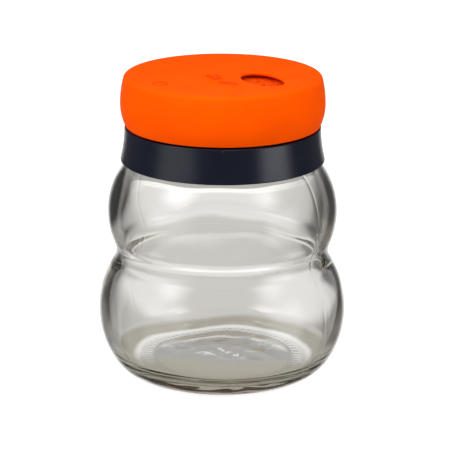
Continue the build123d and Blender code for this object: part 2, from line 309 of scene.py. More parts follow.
class Nodes:
    """A small helper that wires up the nodes of a material, a lamp or the world."""

    # Numbers of the mix node's sockets: the share, the two colours and the result
    MIX_INPUTS = (0, 6, 7)
    MIX_OUTPUT = 2

    def __init__(self, owner: bpy.types.ID, output: str = "ShaderNodeOutputMaterial") -> None:
        """Empties the owner's node tree and adds its output.

        Args:
            owner: The material, lamp or world.
            output: Kind of its output node.
        """
        owner.use_nodes = True
        self.owner = owner
        self.tree = owner.node_tree
        self.tree.nodes.clear()
        self.out = self.add(output)
        self.place = self.add("ShaderNodeTexCoord").outputs["Object"]

    @classmethod
    def material(cls, name: str) -> "Nodes":
        """Starts a new material of that name."""
        return cls(bpy.data.materials.new(name))

    def add(self, kind: str, **settings: object) -> bpy.types.Node:
        """Adds a node.

        Args:
            kind: Its type.
            settings: Its own properties, by name.

        Returns:
            The node.
        """
        node = self.tree.nodes.new(kind)
        for key, value in settings.items():
            setattr(node, key, value)
        return node

    def wire(self, source: Socket, target: Socket) -> None:
        """Links two sockets."""
        self.tree.links.new(source, target)

    def feed(self, value: Union[Value, Colour], target: Socket) -> None:
        """Links a socket to an input, or writes a number or a colour into it.

        Args:
            value: The socket, number or colour.
            target: The input.
        """
        if isinstance(value, bpy.types.NodeSocket):
            self.wire(value, target)
        elif isinstance(value, tuple):
            target.default_value = (*value, 1.0)
        else:
            target.default_value = value

    def sum(self, operation: str, *values: Value) -> Socket:
        """Does one step of arithmetic.

        Args:
            operation: Name of the step, as the math node has it.
            values: What goes in, as numbers or sockets.

        Returns:
            The result.
        """
        node = self.add("ShaderNodeMath", operation=operation)
        for value, target in zip(values, node.inputs):
            self.feed(value, target)
        return node.outputs[0]

    def ramp(self, value: Socket, start: float, end: float, low: float = 0.0, high: float = 1.0) -> Socket:
        """Smooth step of a value.

        Args:
            value: The value.
            start: Where the step begins.
            end: Where it ends; it may lie below the start.
            low: Result at the start.
            high: Result at the end.

        Returns:
            The result.
        """
        node = self.add("ShaderNodeMapRange", interpolation_type="SMOOTHSTEP")
        for name, number in (("From Min", start), ("From Max", end), ("To Min", low), ("To Max", high)):
            node.inputs[name].default_value = number
        self.wire(value, node.inputs["Value"])
        return node.outputs["Result"]

    def noise(self, size: float, detail: float = 2.0, roughness: float = 0.5) -> Socket:
        """Noise over the piece.

        Args:
            size: Size of its features, in millimetres.
            detail: Number of finer layers.
            roughness: Strength of the finer layers.

        Returns:
            Its value, about 0.3 to 0.7.
        """
        node = self.add("ShaderNodeTexNoise")
        node.inputs["Scale"].default_value = 1.0 / (size * MM)
        node.inputs["Detail"].default_value = detail
        node.inputs["Roughness"].default_value = roughness
        self.wire(self.place, node.inputs["Vector"])
        return node.outputs["Fac"]

    def spread(self, noise: Socket, low: float, high: float) -> Socket:
        """Maps noise onto a range, low where the noise is low."""
        return self.ramp(noise, *NOISE_RANGE, low, high)

    def axes(self, vector: Socket) -> tuple[Socket, ...]:
        """Splits a vector.

        Args:
            vector: The vector.

        Returns:
            Its three axes.
        """
        node = self.add("ShaderNodeSeparateXYZ")
        self.wire(vector, node.inputs[0])
        return tuple(node.outputs)

    def length(self, vector: Socket) -> Socket:
        """Measures a vector.

        Args:
            vector: The vector.

        Returns:
            Its length.
        """
        node = self.add("ShaderNodeVectorMath", operation="LENGTH")
        self.wire(vector, node.inputs[0])
        return node.outputs["Value"]

    def offset(self, value: Socket, middle: float) -> Socket:
        """Measures how far a value lies from a middle, either way."""
        return self.sum("ABSOLUTE", self.sum("SUBTRACT", value, middle))

    def blend(self, share: Value, first: Union[Socket, Colour], second: Union[Socket, Colour]) -> Socket:
        """Mixes two colours by a value.

        Args:
            share: 0 gives the first colour and 1 the second.
            first: A linear colour, or a socket that gives one.
            second: Another.

        Returns:
            The mixed colour.
        """
        node = self.add("ShaderNodeMix", data_type="RGBA")
        for value, number in zip((share, first, second), self.MIX_INPUTS):
            self.feed(value, node.inputs[number])
        return node.outputs[self.MIX_OUTPUT]

    def emission(self, colour: Union[Socket, Colour] = WHITE, strength: Value = 1.0) -> Socket:
        """Adds a glow.

        Args:
            colour: Its colour.
            strength: Its strength.

        Returns:
            The shader.
        """
        node = self.add("ShaderNodeEmission")
        self.feed(colour, node.inputs["Color"])
        self.feed(strength, node.inputs["Strength"])
        return node.outputs["Emission"]

    def bump(self, height: Socket, depth: float, normal: Socket | None = None) -> Socket:
        """Turns a height into a normal.

        Args:
            height: The height, 0 to 1.
            depth: What 1 stands for, in millimetres.
            normal: Normal to add it to.

        Returns:
            The bent normal.
        """
        node = self.add("ShaderNodeBump")
        node.inputs["Strength"].default_value = 1.0
        node.inputs["Distance"].default_value = depth * MM
        self.wire(height, node.inputs["Height"])
        if normal is not None:
            self.wire(normal, node.inputs["Normal"])
        return node.outputs["Normal"]

    def surface(self) -> bpy.types.Node:
        """Adds the main shader and joins it to the output.

        Returns:
            The shader.
        """
        node = self.add("ShaderNodeBsdfPrincipled")
        self.wire(node.outputs["BSDF"], self.out.inputs["Surface"])
        return node


class Finish:
    """A finish with a name, the base of the three kinds below."""

    name: str

    def material(self) -> bpy.types.Material:
        """Builds the material.

        Returns:
            The finished node material.
        """
        nodes = Nodes.material(self.name)
        self._paint(nodes, nodes.surface())
        return nodes.owner

    def _paint(self, nodes: Nodes, shader: bpy.types.Node) -> None:
        """Sets up the shader, which each kind of finish does in its own way."""
        raise NotImplementedError


@dataclass(frozen=True)
class MouldedPlastic(Finish):
    """Injection-moulded plastic with a fine spark texture, flow marks and handling wear."""

    name: str
    colour: Colour
    shade: Colour
    roughness: float
    polish: float
    specular: float
    refraction: float = 1.5
    grain: float = 0.25
    grain_detail: float = 1.0
    grain_depth: float = 0.004
    flow: float = 9.0
    flow_detail: float = 3.0
    flow_depth: float = 0.02

    def _paint(self, nodes: Nodes, shader: bpy.types.Node) -> None:
        """Sets up the shader.

        Args:
            nodes: The material's nodes.
            shader: Its main shader.
        """
        flow = nodes.noise(self.flow, self.flow_detail)
        fine = nodes.noise(self.grain, self.grain_detail)
        nodes.wire(
            nodes.blend(nodes.spread(flow, 0.0, 1.0), self.colour, self.shade),
            shader.inputs["Base Color"],
        )
        nodes.wire(nodes.spread(flow, self.polish, self.roughness), shader.inputs["Roughness"])
        soft = nodes.bump(flow, self.flow_depth)
        nodes.wire(nodes.bump(fine, self.grain_depth, soft), shader.inputs["Normal"])
        shader.inputs["IOR"].default_value = self.refraction
        shader.inputs["Specular IOR Level"].default_value = self.specular


@dataclass(frozen=True)
class ClearGlass(Finish):
    """Pressed soda glass: clear, a little warm in the thick, faintly rippled, with a frosted foot."""

    name: str
    tint: Colour
    thickness_colour: Colour
    thickness_density: float
    refraction: float = 1.5
    ripple: float = 7.0
    ripple_detail: float = 1.5
    ripple_depth: float = 0.01
    smear: float = 11.0
    smear_roughness: float = 0.012
    frost_roughness: float = 0.35
    frost_height: float = 0.35
    frost_full_share: float = 0.2

    def _paint(self, nodes: Nodes, shader: bpy.types.Node) -> None:
        """Sets up the shader.

        Args:
            nodes: The material's nodes.
            shader: Its main shader.
        """
        shader.inputs["Base Color"].default_value = (*self.tint, 1.0)
        shader.inputs["Transmission Weight"].default_value = 1.0
        shader.inputs["IOR"].default_value = self.refraction
        ripple = nodes.noise(self.ripple, self.ripple_detail)
        nodes.wire(nodes.bump(ripple, self.ripple_depth), shader.inputs["Normal"])
        height = nodes.axes(nodes.place)[2]
        edges = (self.frost_height * MM, self.frost_full_share * self.frost_height * MM)
        frost = nodes.ramp(height, *edges, 0.0, self.frost_roughness)
        smear = nodes.spread(nodes.noise(self.smear), 0.0, self.smear_roughness)
        nodes.wire(nodes.sum("ADD", frost, smear), shader.inputs["Roughness"])
        inside = nodes.add("ShaderNodeVolumeAbsorption")
        inside.inputs["Color"].default_value = (*self.thickness_colour, 1.0)
        inside.inputs["Density"].default_value = self.thickness_density
        nodes.wire(inside.outputs["Volume"], nodes.out.inputs["Volume"])


@dataclass(frozen=True)
class SoftRubber(Finish):
    """Matt, slightly mottled sealing ring."""

    name: str
    colour: Colour
    shade: Colour
    mottle: float = 3.0
    mottle_detail: float = 3.0
    roughness: tuple[float, float] = (0.5, 0.7)
    grain: float = 0.3
    grain_depth: float = 0.01

    def _paint(self, nodes: Nodes, shader: bpy.types.Node) -> None:
        """Sets up the shader.

        Args:
            nodes: The material's nodes.
            shader: Its main shader.
        """
        cloud = nodes.noise(self.mottle, self.mottle_detail)
        nodes.wire(
            nodes.blend(nodes.spread(cloud, 0.0, 1.0), self.colour, self.shade),
            shader.inputs["Base Color"],
        )
        nodes.wire(nodes.spread(cloud, *self.roughness), shader.inputs["Roughness"])
        nodes.wire(nodes.bump(nodes.noise(self.grain), self.grain_depth), shader.inputs["Normal"])


def dress(piece: bpy.types.Object, material: bpy.types.Material) -> None:
    """Gives every slot of a piece one material.

    Args:
        piece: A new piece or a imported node.
        material: Its finish.
    """
    if not piece.material_slots:
        piece.data.materials.append(material)
    for place in piece.material_slots:
        place.material = material


@dataclass(frozen=True)
class Ripple:
    """A bent ripple of the base's upper side; pitches are in radians a millimetre."""

    pitch: float
    phase: float
    bend: float
    bend_pitch: float
    bend_phase: float = 0.0

    def height(self, along: np.ndarray, across: np.ndarray) -> np.ndarray:
        """Height of the ripple, -1 to 1, at places along it and across it."""
        bend = self.bend * np.sin(self.bend_pitch * across + self.bend_phase)
        return np.sin(self.pitch * along + bend + self.phase)


@dataclass
class GlassJar:
    """The glass: two swelling bands, a thick base, mould seams and a two-start thread.

    Pairs are the two ends of a soft step: where a form begins and where it has its full height.
    """

    finish: ClearGlass
    foot_radius: float = 24.4
    foot_ring: float = 2.0
    heel_arc: float = 10.9
    lower: Point = (9.95, 20.4)
    lower_arc: float = 28.2
    waist_arc: float = 6.3
    inner_waist_arc: float = 13.0
    upper: Point = (11.3, 51.3)
    upper_arc: float = 24.0
    shoulder_arc: float = 8.5
    shoulder_angle: float = 34.0
    neck_radius: float = 26.0
    rim_height: float = RIM_HEIGHT
    wall: float = 2.6
    floor_height: float = 5.5
    inner_heel_arc: float = 7.0
    push_up: float = 1.1
    push_up_edge: float = 0.1
    foot_corner: float = 0.9
    neck_root_corner: float = 0.6
    rim_corner: float = 0.8
    inner_neck_corner: float = 1.0
    inner_end_drop: float = 0.9
    # Longest steps along the profile: lengths in millimetres, and degrees on the tight arcs
    dome_steps: int = 24
    edge_step: float = 0.1
    foot_step: float = 0.4
    neck_step: float = 0.22
    rim_step: float = 0.3
    floor_step: float = 0.9
    bore_step: float = 0.5
    tight_step: float = 4.0
    # Columns of the mesh, with more of them at the mould seams, in degrees
    columns: int = 288
    seam_columns: tuple[float, ...] = (-0.6, -0.4, -0.25, -0.12, 0.0, 0.12, 0.25, 0.4, 0.6)
    least_gap: float = 0.04
    knurls: int = 72
    knurl_depth: float = 0.08
    knurl_inner: tuple[float, float] = (-0.2, 0.3)
    knurl_outer: float = 0.6
    knurl_top: float = 0.6
    seam_azimuth: float = -35.0
    seam_height: float = 0.02
    seam_width: float = 0.4
    seam_foot: tuple[float, float] = (1.0, 4.0)
    thread_height: float = 1.0
    thread_width: float = 1.9
    thread_crest_share: float = 0.35
    thread_lead: float = 8.0
    thread_start: float = RIM_HEIGHT - 8.1
    thread_sweep: float = 200.0
    thread_run_out: float = 0.25
    thread_margin: float = 4.0
    neck_margin: float = 0.05
    # Unevenness of the inside: depth, lobes round the jar, shift for each millimetre up, phase
    sways: tuple[tuple[float, int, float, float], ...] = (
        (0.10, 2, 0.11, 0.4),
        (0.07, 3, -0.17, 1.9),
        (0.05, 5, 0.23, 4.0),
        (0.03, 9, -0.31, 2.2),
    )
    sway_below_rim: tuple[float, float] = (14.0, 9.0)
    sway_radii: tuple[float, float] = (4.0, 14.0)
    pool_height: float = 0.04
    pool_top: float = 2.0
    pool_radii: tuple[float, float] = (0.5, 4.0)
    pool_x: Ripple = Ripple(0.55, 0.6, 1.3, 0.23)
    pool_y: Ripple = Ripple(0.48, 2.0, 0.9, 0.31, math.pi / 2)

    def _outline(self) -> tuple[np.ndarray, int]:
        """Draws the whole section of the glass.

        Returns:
            The points, and the number of the first point that faces inwards.
        """
        shoulder = polar(self.upper, self.upper_arc - self.shoulder_arc, self.shoulder_angle)
        foot_inner = self.foot_radius - self.foot_ring
        hollow = foot_inner - self.push_up_edge
        sagitta = self.push_up - self.push_up_edge
        dome = (hollow**2 + sagitta**2) / (2 * sagitta)
        tilt = math.degrees(math.asin(hollow / dome))
        profile = Profile((0.0, self.push_up))
        profile.arc((0.0, self.push_up - dome), dome, 90.0, 90.0 - tilt, tilt / self.dome_steps)
        profile.corner(self.foot_corner)
        profile.line((foot_inner, 0.0), self.edge_step).corner(self.foot_corner)
        profile.line((self.foot_radius, 0.0), self.foot_step)
        self._bands(profile, shoulder, 0.0, (self.foot_radius, self.heel_arc), self.heel_arc)
        profile.corner(self.neck_root_corner)
        profile.line((self.neck_radius, self.rim_height), self.neck_step).corner(self.rim_corner)
        bore = self.neck_radius - self.wall
        profile.line((bore, self.rim_height), self.rim_step).corner(self.rim_corner)
        inside = Profile((0.0, self.floor_height))
        low = self.lower_arc - self.wall
        heel_height = self.floor_height + self.inner_heel_arc
        drop = self.lower[1] - heel_height
        heel_reach = self.lower[0] + math.sqrt((low - self.inner_heel_arc) ** 2 - drop**2)
        inside.line((heel_reach, self.floor_height), self.floor_step)
        self._bands(inside, shoulder, self.wall, (heel_reach, heel_height), self.inner_heel_arc)
        inside.corner(self.inner_neck_corner)
        inside.line((bore, self.rim_height - self.inner_end_drop), self.bore_step)
        outer = profile.softened()
        inner = inside.softened()[::-1]
        # The glass faces inwards from the middle of the rim's second corner
        return np.concatenate([outer, inner]), len(outer) - CORNER_STEPS // 2

    def _bands(self, line: Profile, shoulder: Point, wall: float, heel: Point, heel_arc: float) -> None:
        """Adds heel, lower band, waist, upper band and shoulder to a profile.

        Args:
            line: The profile, which ends at the foot of the heel.
            shoulder: Centre of the shoulder's arc.
            wall: Distance in from the outer surface.
            heel: Centre of the heel's arc.
            heel_arc: Its radius.
        """
        low, high = self.lower_arc - wall, self.upper_arc - wall
        hollow = self.inner_waist_arc if wall else self.waist_arc
        waist = self._waist(low + hollow, high + hollow)
        heel_end = bearing(self.lower, heel)
        low_end = bearing(self.lower, waist)
        high_start = bearing(self.upper, waist)
        neck = self.neck_radius - wall
        reach = self.shoulder_arc - wall
        top = (neck, shoulder[1] + math.sqrt(reach**2 - (neck - shoulder[0]) ** 2))
        line.arc(heel, heel_arc, -90.0, heel_end, self.tight_step)
        line.arc(self.lower, low, heel_end, low_end)
        line.arc(waist, hollow, 180.0 + low_end, 180.0 + high_start, self.tight_step)
        line.arc(self.upper, high, high_start, self.shoulder_angle)
        line.arc(shoulder, reach, self.shoulder_angle, bearing(shoulder, top), self.tight_step)

    def _waist(self, low: float, high: float) -> Point:
        """Finds the centre of the waist's arc, outside the jar.

        Args:
            low: Its distance from the centre of the lower band's arc.
            high: Its distance from the centre of the upper band's arc.

        Returns:
            The centre.
        """
        span = math.dist(self.lower, self.upper)
        along = (low**2 - high**2 + span**2) / (2 * span)
        out = math.sqrt(low**2 - along**2)
        lean = math.radians(bearing(self.lower, self.upper))
        return (
            self.lower[0] + along * math.cos(lean) + out * math.sin(lean),
            self.lower[1] + along * math.sin(lean) - out * math.cos(lean),
        )

    def _azimuths(self) -> np.ndarray:
        """Places the columns of the mesh, closer together at the two mould seams.

        Returns:
            Their azimuths in radians, rising once round.
        """
        even = np.arange(self.columns) * 2 * math.pi / self.columns
        near = np.radians(np.array(self.seam_columns))
        seams = [math.radians(self.seam_azimuth + turn) + near for turn in (0.0, 180.0)]
        both = np.sort(np.concatenate([even, *seams]) % (2 * math.pi))
        keep = np.concatenate([[True], np.diff(both) > math.radians(self.least_gap)])
        return both[keep]

    def _thread(self, azimuth: np.ndarray, height: np.ndarray) -> np.ndarray:
        """Height of the two thread ridges over the neck.

        Args:
            azimuth: Azimuth of each point, in radians.
            height: Height of each point.

        Returns:
            The ridge's height at each point.
        """
        ridge = np.zeros(np.broadcast(azimuth, height).shape)
        sweep = math.radians(self.thread_sweep)
        for start in (0.0, math.pi):
            along = (azimuth - start) % (2 * math.pi)
            middle = self.thread_start + self.thread_lead * along / (2 * math.pi)
            across = np.abs(height - middle) / (self.thread_width / 2)
            shape = 1.0 - rise(across, self.thread_crest_share, 1.0)
            run_out = self.thread_run_out
            ends = rise(along, 0.0, run_out) * (1.0 - rise(along, sweep - run_out, sweep))
            ridge = np.maximum(ridge, self.thread_height * shape * ends)
        return ridge

    def _relief(self, points: np.ndarray, azimuths: np.ndarray, inner_from: int) -> np.ndarray:
        """Thread, seams and the slight unevenness of moulded glass.

        Args:
            points: The section.
            azimuths: The mesh's columns.
            inner_from: Number of the first point that faces inwards.

        Returns:
            The shift of every point, outwards from the glass.
        """
        radius, height = points[:, :1], points[:, 1:]
        turn = azimuths[None, :]
        outside = np.arange(len(points))[:, None] < inner_from
        seam = np.zeros((len(points), len(azimuths)))
        for half in (0.0, 180.0):
            gap = (turn - math.radians(self.seam_azimuth + half) + math.pi) % (2 * math.pi) - math.pi
            seam += np.exp(-((gap * radius / self.seam_width) ** 2))
        body = outside & (height > self.seam_foot[0]) & (radius > self.foot_radius)
        relief = np.where(body, self.seam_height * seam * rise(height, *self.seam_foot), 0.0)
        neck = outside & (radius > self.neck_radius - self.neck_margin)
        neck = neck & (height > self.thread_start - self.thread_margin)
        relief = relief + np.where(neck, self._thread(turn, height), 0.0)
        sway = sum(
            depth * np.sin(lobes * turn + climb * height + phase)
            for depth, lobes, climb, phase in self.sways
        )
        start, end = self.sway_below_rim
        below_rim = 1.0 - rise(height, self.rim_height - start, self.rim_height - end)
        relief = relief + np.where(~outside, sway * below_rim * rise(radius, *self.sway_radii), 0.0)
        x, y = radius * np.cos(turn), radius * np.sin(turn)
        pool = self.pool_x.height(x, y) * self.pool_y.height(y, x)
        floor = ~outside & (height < self.floor_height + self.pool_top)
        pool = self.pool_height * pool * rise(radius, *self.pool_radii)
        relief = relief + np.where(floor, pool, 0.0)
        foot_inner = self.foot_radius - self.foot_ring
        start, end = self.knurl_inner
        ring = rise(radius, foot_inner + start, foot_inner + end)
        ring = ring * (1.0 - rise(radius, self.foot_radius - self.knurl_outer, self.foot_radius))
        knurl = self.knurl_depth * (0.5 - 0.5 * np.cos(self.knurls * turn))
        return relief - np.where(outside & (height < self.knurl_top), knurl * ring, 0.0)

    def build(self) -> bpy.types.Object:
        """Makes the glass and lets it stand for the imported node.

        Returns:
            The piece.
        """
        points, inner_from = self._outline()
        azimuths = self._azimuths()
        relief = self._relief(points, azimuths, inner_from)
        piece = turned_piece("jar_glass", points, azimuths, relief)
        dress(piece, self.finish.material())
        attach(piece, Body.JAR.value)
        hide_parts("glass_jar")
        return piece


@dataclass
class PackedPiece:
    """A piece that is only dressed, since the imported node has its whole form."""

    finish: Finish
    node: str

    def build(self) -> bpy.types.Object:
        """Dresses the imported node.

        Returns:
            The node's object.
        """
        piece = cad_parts[self.node]
        dress(piece, self.finish.material())
        return piece


@dataclass
class SealRing(PackedPiece):
    """The soft ring on the rim."""

    finish: SoftRubber
    node: str = "seal_ring"


@dataclass
class ShakerInsert(PackedPiece):
    """The orange insert that shows through the window."""

    finish: MouldedPlastic
    node: str = "shaker_insert"


@dataclass
class ScrewCollar:
    """The navy collar, with the two-start thread inside its skirt."""

    finish: MouldedPlastic
    bore_radius: float = 27.35
    ridge_height: float = 1.0
    ridge_foot: float = 1.7
    ridge_top: float = 0.7
    crest_share: float = 0.6
    slope_share: float = 0.2
    slope_drop: float = 0.12
    end_height_share: float = 0.08
    end_slope: float = 6.0
    sink: float = 0.15
    lead: float = 8.0
    start_height: float = RIM_HEIGHT - 8.8
    start_azimuth: float = 60.0
    sweep: float = 200.0
    steps: int = 100

    def _ridge(self, name: str, azimuth: float) -> bpy.types.Object:
        """Sweeps one start of the thread along its helix.

        Args:
            name: Name of the piece.
            azimuth: Where it begins, in degrees.

        Returns:
            The closed ridge, a little sunk into the skirt.
        """
        shell = bmesh.new()
        sections: list[list[Corner]] = []
        for k in range(self.steps + 1):
            share = k / self.steps
            turn = math.radians(azimuth + self.sweep * share)
            height = self.start_height + self.lead * self.sweep * share / 360.0
            end = min(1.0, self.end_slope * min(share, 1.0 - share) + self.end_height_share)
            tall = self.ridge_height * (end * (2.0 - end))
            foot, top = self.ridge_foot / 2, self.ridge_top / 2
            crest = self.bore_radius - tall
            half = (
                (self.bore_radius + self.sink, foot),
                (self.bore_radius, foot),
                (crest + self.slope_share * tall, top + self.slope_drop),
                (crest, top * self.crest_share),
            )
            lower = [(radius, height - offset) for radius, offset in half]
            upper = [(radius, height + offset) for radius, offset in half[::-1]]
            places = [(radius * math.cos(turn), radius * math.sin(turn), z) for radius, z in lower + upper]
            sections.append([shell.verts.new(Vector(place) * MM) for place in places])
        for near, far in zip(sections, sections[1:]):
            wrap(shell, near, far)
        shell.faces.new(sections[0][::-1])
        shell.faces.new(sections[-1])
        bmesh.ops.recalc_face_normals(shell, faces=shell.faces[:])
        return link_shell(shell, name)

    def build(self) -> list[bpy.types.Object]:
        """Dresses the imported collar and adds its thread.

        Returns:
            The collar and the two ridges.
        """
        material = self.finish.material()
        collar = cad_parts["screw_collar"]
        dress(collar, material)
        pieces = [collar]
        for number in (0, 1):
            ridge = self._ridge(f"collar_thread_{number + 1}", self.start_azimuth + 180.0 * number)
            dress(ridge, material)
            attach(ridge, Body.LID.value)
            pieces.append(ridge)
        return pieces


@dataclass
class ShakerDial:
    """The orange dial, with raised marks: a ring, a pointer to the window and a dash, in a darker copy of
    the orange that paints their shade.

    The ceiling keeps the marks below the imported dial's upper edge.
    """

    finish: MouldedPlastic
    # Darker copy of the orange for the marks: painted shade
    mark_shade_finish: MouldedPlastic
    top_height: float = 93.36
    dish: float = 0.6
    dish_radius: float = 30.1
    mark_height: float = 0.5
    mark_ceiling: float = 93.88
    mark_sink: float = 0.15
    mark_bevel: float = 0.1
    bevel_steps: int = 3
    bevel_angle: float = 40.0
    pointer: tuple[Point, ...] = ((-5.2, 0.0), (-2.4, -5.4), (-0.4, -3.4), (-1.6, 0.6))
    dash: tuple[Point, ...] = ((-1.4, -9.6), (4.6, -12.7), (4.0, -9.6), (-0.6, -7.9))
    ring_centre: Point = (-18.9, -12.0)
    ring_radius: float = 2.2
    ring_width: float = 0.6
    ring_cells: int = 40

    def _surface(self, x: float, y: float) -> float:
        """Height of the dished top at a place."""
        return self.top_height + self.dish * (x * x + y * y) / self.dish_radius**2

    def _raised(self, name: str, outlines: Sequence[Sequence[Point]]) -> bpy.types.Object:
        """Makes one mark that stands on the dished top.

        Args:
            name: Name of the piece.
            outlines: Closed outlines of its parts, each anticlockwise seen from above.

        Returns:
            The mark with softened edges.
        """
        shell = bmesh.new()
        for outline in outlines:
            low, high = [], []
            for x, y in outline:
                level = self._surface(x, y)
                top = min(self.mark_ceiling, level + self.mark_height)
                low.append(shell.verts.new(Vector((x, y, level - self.mark_sink)) * MM))
                high.append(shell.verts.new(Vector((x, y, top)) * MM))
            shell.faces.new(low[::-1])
            shell.faces.new(high)
            wrap(shell, low, high)
        piece = link_shell(shell, name)
        bevel = piece.modifiers.new("soft edges", "BEVEL")
        bevel.width = self.mark_bevel * MM
        bevel.segments = self.bevel_steps
        bevel.limit_method = "ANGLE"
        bevel.angle_limit = math.radians(self.bevel_angle)
        return piece

    def _ring(self) -> list[list[Point]]:
        """Cuts the ring mark into cells.

        Returns:
            One outline for each cell.
        """
        inner, outer = self.ring_radius - self.ring_width / 2, self.ring_radius + self.ring_width / 2
        cells = []
        for k in range(self.ring_cells):
            a, b = 360.0 * k / self.ring_cells, 360.0 * (k + 1) / self.ring_cells
            corners = ((inner, a), (outer, a), (outer, b), (inner, b))
            cells.append([polar(self.ring_centre, radius, angle) for radius, angle in corners])
        return cells

    def build(self) -> list[bpy.types.Object]:
        """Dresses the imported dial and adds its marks.

        Returns:
            The dial and its marks.
        """
        material = self.finish.material()
        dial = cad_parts["shaker_dial"]
        dress(dial, material)
        pieces = [dial]
        marks = {
            "dial_mark_pointer": [self.pointer],
            "dial_mark_dash": [self.dash],
            "dial_mark_ring": self._ring(),
        }
        shaded = self.mark_shade_finish.material()
        for name, outlines in marks.items():
            piece = self._raised(name, outlines)
            dress(piece, shaded)
            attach(piece, Body.DIAL.value)
            pieces.append(piece)
        return pieces


@dataclass(frozen=True)
class Softbox:
    """A rectangular studio lamp with soft edges, which faces the jar.

    Azimuths count from the front, positive to the right; aim is the height that it faces.
    """

    name: str
    azimuth: float
    elevation: float
    distance: float
    width: float
    height: float
    radiance: float
    aim: float = 50.0
    softness: float = 0.5
    lights: bool = True
    mirrored: bool = True

    def build(self) -> bpy.types.Object:
        """Hangs the lamp.

        Returns:
            The lamp.
        """
        turn, lift = math.radians(self.azimuth), math.radians(self.elevation)
        target = Vector((0.0, 0.0, self.aim)) * MM
        back = Vector(
            (math.sin(turn) * math.cos(lift), -math.cos(turn) * math.cos(lift), math.sin(lift))
        )
        data = bpy.data.lights.new(self.name, "AREA")
        data.shape = "RECTANGLE"
        data.size, data.size_y = self.width * MM, self.height * MM
        data.energy = math.pi * data.size * data.size_y
        self._soften(data)
        lamp = bpy.data.objects.new(self.name, data)
        lamp.location = target + back * self.distance * MM
        lamp.rotation_euler = back.to_track_quat("Z", "Y").to_euler()
        lamp.visible_camera = False
        lamp.visible_diffuse = self.lights
        lamp.visible_glossy = lamp.visible_transmission = self.mirrored
        bpy.context.scene.collection.objects.link(lamp)
        return lamp

    def _soften(self, data: bpy.types.AreaLight) -> None:
        """Lets the lamp's glow fall off towards its edges.

        Args:
            data: The lamp's own data.
        """
        nodes = Nodes(data, "ShaderNodeOutputLight")
        glow = self.radiance
        for place, size in zip(nodes.axes(nodes.place), (self.width, self.height)):
            reach = nodes.sum("DIVIDE", nodes.sum("ABSOLUTE", place), size / 2 * MM)
            glow = nodes.sum("MULTIPLY", nodes.ramp(reach, 1.0, 1.0 - 2 * self.softness), glow)
        nodes.wire(nodes.emission(strength=glow), nodes.out.inputs["Surface"])


@dataclass(frozen=True)
class Patch:
    """A soft-edged part of the room, in degrees as seen from the jar.

    The azimuth counts from the front, positive to the right, and 180 is straight behind.
    """

    azimuth: float
    elevation: float
    half_width: float
    half_height: float
    colour: Colour
    softness: float = 0.3

    def share(self, nodes: Nodes, azimuth: Socket, elevation: Socket) -> Socket:
        """Finds how far the patch shows in each direction.

        Args:
            nodes: The world's nodes.
            azimuth: Where a ray goes, in degrees.
            elevation: The same, above level.

        Returns:
            The share, 1 in the middle of the patch and 0 beyond it.
        """
        across = nodes.sum("WRAP", nodes.sum("SUBTRACT", azimuth, self.azimuth), 180.0, -180.0)
        along = nodes.sum("SUBTRACT", elevation, self.elevation)
        parts = [
            nodes.sum("POWER", nodes.sum("ABSOLUTE", nodes.sum("DIVIDE", off, half)), PATCH_POWER)
            for off, half in ((across, self.half_width), (along, self.half_height))
        ]
        reach = nodes.sum("POWER", nodes.sum("ADD", *parts), 1.0 / PATCH_POWER)
        return nodes.ramp(reach, 1.0 + self.softness, 1.0 - self.softness)


@dataclass(frozen=True)
class Step:
    """A soft step in the table's painted light and shade, going out from the jar, in millimetres."""

    start: float
    end: float
    colour: Colour


@dataclass(frozen=True)
class Fan:
    """A soft-edged sector of the table, in degrees from straight behind the jar.

    A pair says where the sector begins to show and where it shows in full: off its middle, to
    either side, and, where it doesn't reach all the way, out from the jar in millimetres.
    """

    middle: float
    sides: tuple[float, float]
    away: tuple[float, float] | None = None

    def share(self, nodes: Nodes, turn: Socket, away: Socket) -> Socket:
        """Finds how far the sector shows at each place.

        Args:
            nodes: The table's nodes.
            turn: Angle of the place, in degrees from straight behind the jar.
            away: Its distance from the jar, in metres.

        Returns:
            The share, 0 to 1.
        """
        share = nodes.ramp(nodes.offset(turn, self.middle), *self.sides)
        if self.away is None:
            return share
        start, end = self.away
        return nodes.sum("MULTIPLY", share, nodes.ramp(away, start * MM, end * MM))


